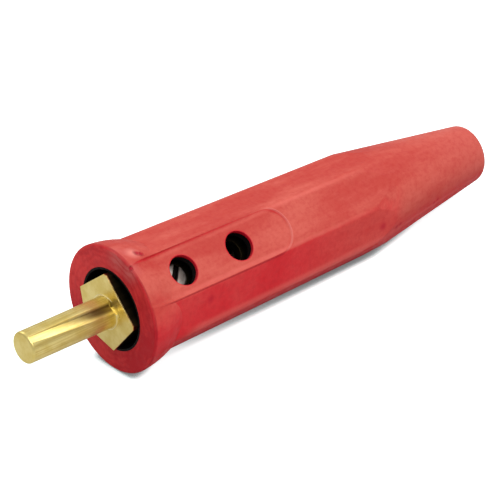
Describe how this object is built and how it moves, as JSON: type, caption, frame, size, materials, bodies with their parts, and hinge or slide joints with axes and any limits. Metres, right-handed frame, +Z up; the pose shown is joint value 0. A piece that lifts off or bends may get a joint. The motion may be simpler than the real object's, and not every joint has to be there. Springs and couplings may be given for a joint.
{
  "type": "welding cable plug",
  "caption": "Male welding cable plug: brass pin with cam groove and clamp bar in a red rubber jacket with octagonal grip, screw access pad and tapered tail.",
  "frame": {"origin": "centre of the pin's root, at the front face of its ring", "axes": "+X from the pin towards the tail along the plug's axis, +Z up, clamp screws at 45 degrees between -Y and +Z"},
  "size_m": [0.1715, 0.0386, 0.0385],
  "materials": {
    "red_rubber": "satin",
    "black_liner": "matte",
    "brass": "satin",
    "steel": "satin"
  },
  "bodies": {
    "plug": {"insulator": "red_rubber", "liner": "black_liner", "plug_body": "brass"},
    "front_screw": {"front_clamp_screw": "steel"},
    "rear_screw": {"rear_clamp_screw": "steel"}
  },
  "joints": [
    {"name": "front_screw_travel", "type": "slide", "parent": "plug", "child": "front_screw", "axis": [0, -0.7071, 0.7071], "range_m": [-0.0055, 0.003]},
    {"name": "rear_screw_travel", "type": "slide", "parent": "plug", "child": "rear_screw", "axis": [0, -0.7071, 0.7071], "range_m": [-0.0018, 0.0065]}
  ]
}
